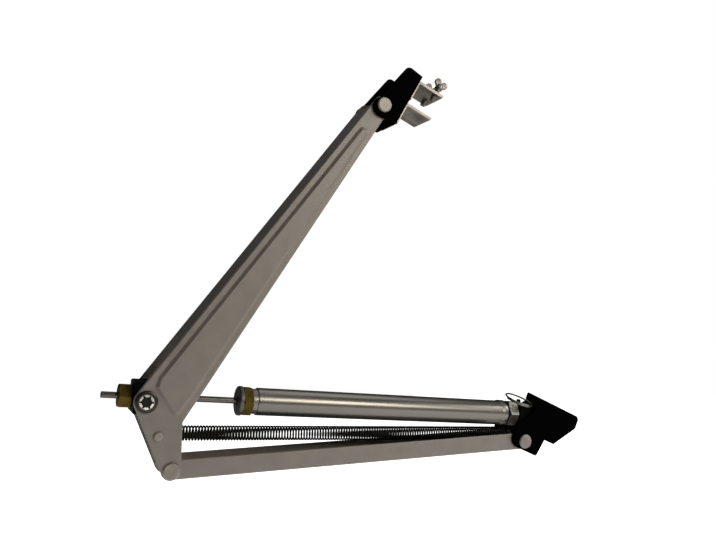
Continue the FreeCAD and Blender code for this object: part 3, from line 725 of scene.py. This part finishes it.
def addCamera(view):
    data = bpy.data.cameras.new("camera")
    data.lens = view["lens"]
    data.sensor_width = view["sensor"]
    data.clip_start = 0.01
    data.clip_end = 50.0
    camera = bpy.data.objects.new("camera", data)
    bpy.context.scene.collection.objects.link(camera)
    camera.location = foldPivot + Vector(view["fromFold"])
    forward = Vector(view["forward"]).normalized()
    right = Vector(view["right"])
    right = (right - forward * right.dot(forward)).normalized()
    up = right.cross(forward)
    turn = Matrix((right, up, -forward)).transposed()
    camera.rotation_mode = "QUATERNION"
    camera.rotation_quaternion = turn.to_quaternion()
    bpy.context.scene.camera = camera


addCamera(cameraView)

# Studio

studio = {
    "floorSize": 3.0,
    "floorGlow": 1.0,
    "floorDrop": 0.15,
    "lights": {
        "keyLight": {"place": (1.1, -0.55, 0.75), "size": 0.6, "power": 14.0},
        "topLight": {"place": (0.25, 0.15, 1.3), "size": 0.8, "power": 5.0},
        "frontLight": {
            "place": (0.36, -1.2, 0.62), "size": 0.45, "power": 12.0, "colour": (1.0, 0.93, 0.83),
        },
    },
    "skyStops": (
        (0.0, 0.75), (0.47, 0.5), (0.5, 0.12), (0.62, 0.25), (0.8, 0.6), (1.0, 0.8),
    ),
    "skyBlue": 1.02,
    "floorShade": 0.92,
    "skyStrength": 0.42,
    "skyLeft": 0.1,
    "skyRight": 1.2,
}


def addLight(name, light):
    data = bpy.data.lights.new(name, "AREA")
    data.shape = "SQUARE"
    data.size = light["size"]
    data.energy = light["power"]
    data.color = light.get("colour", (1, 1, 1))
    lamp = bpy.data.objects.new(name, data)
    bpy.context.scene.collection.objects.link(lamp)
    lamp.location = light["place"]
    aim = (cadLow + cadHigh) / 2 - Vector(light["place"])
    lamp.rotation_mode = "QUATERNION"
    lamp.rotation_quaternion = aim.to_track_quat("-Z", "Y")


def addFloor(s):
    bm = bmesh.new()
    bmesh.ops.create_grid(bm, x_segments=1, y_segments=1, size=s["floorSize"] / 2)
    mesh = bpy.data.meshes.new("floor")
    bm.to_mesh(mesh)
    bm.free()
    floor = bpy.data.objects.new("floor", mesh)
    bpy.context.scene.collection.objects.link(floor)
    floor.location = (0, 0, cadLow.z - s["floorDrop"])
    material = bpy.data.materials.new("floorWhite")
    material.use_nodes = True
    shader = material.node_tree.nodes["Principled BSDF"]
    shade = s["floorShade"]
    shader.inputs["Base Color"].default_value = (shade, shade, shade, 1)
    shader.inputs["Roughness"].default_value = 1.0
    shader.inputs["Specular IOR Level"].default_value = 0.0
    shader.inputs["Emission Color"].default_value = (1, 1, 1, 1)
    shader.inputs["Emission Strength"].default_value = s["floorGlow"]
    mesh.materials.append(material)


def addWorld(s):
    world = bpy.data.worlds.new("studioWorld")
    bpy.context.scene.world = world
    world.use_nodes = True
    made, link = world.node_tree.nodes, world.node_tree.links
    made.clear()
    out = made.new("ShaderNodeOutputWorld")
    seen = made.new("ShaderNodeBackground")
    seen.inputs["Color"].default_value = (1, 1, 1, 1)
    around = made.new("ShaderNodeBackground")
    around.inputs["Strength"].default_value = s["skyStrength"]
    place = made.new("ShaderNodeTexCoord")
    parts = made.new("ShaderNodeSeparateXYZ")
    link.new(place.outputs["Generated"], parts.inputs["Vector"])
    level = made.new("ShaderNodeMapRange")
    level.inputs["From Min"].default_value = -1.0
    link.new(parts.outputs["Z"], level.inputs["Value"])
    ramp = made.new("ShaderNodeValToRGB")
    stops = ramp.color_ramp.elements
    for i, (where, grey) in enumerate(s["skyStops"]):
        stop = stops[i] if i < 2 else stops.new(where)
        stop.position = where
        stop.color = (grey, grey, grey * s["skyBlue"], 1)
    link.new(level.outputs["Result"], ramp.inputs["Fac"])
    side = made.new("ShaderNodeMapRange")
    side.inputs["From Min"].default_value = -1.0
    side.inputs["To Min"].default_value = s["skyLeft"]
    side.inputs["To Max"].default_value = s["skyRight"]
    link.new(parts.outputs["X"], side.inputs["Value"])
    shade = made.new("ShaderNodeVectorMath")
    shade.operation = "SCALE"
    link.new(ramp.outputs["Color"], shade.inputs[0])
    link.new(side.outputs["Result"], shade.inputs["Scale"])
    link.new(shade.outputs[0], around.inputs["Color"])
    path = made.new("ShaderNodeLightPath")
    mix = made.new("ShaderNodeMixShader")
    link.new(path.outputs["Is Camera Ray"], mix.inputs[0])
    link.new(around.outputs[0], mix.inputs[1])
    link.new(seen.outputs[0], mix.inputs[2])
    link.new(mix.outputs[0], out.inputs[0])


addFloor(studio)
addWorld(studio)
for name, light in studio["lights"].items():
    addLight(name, light)
bpy.context.scene.view_settings.view_transform = "Standard"
print("studio built")
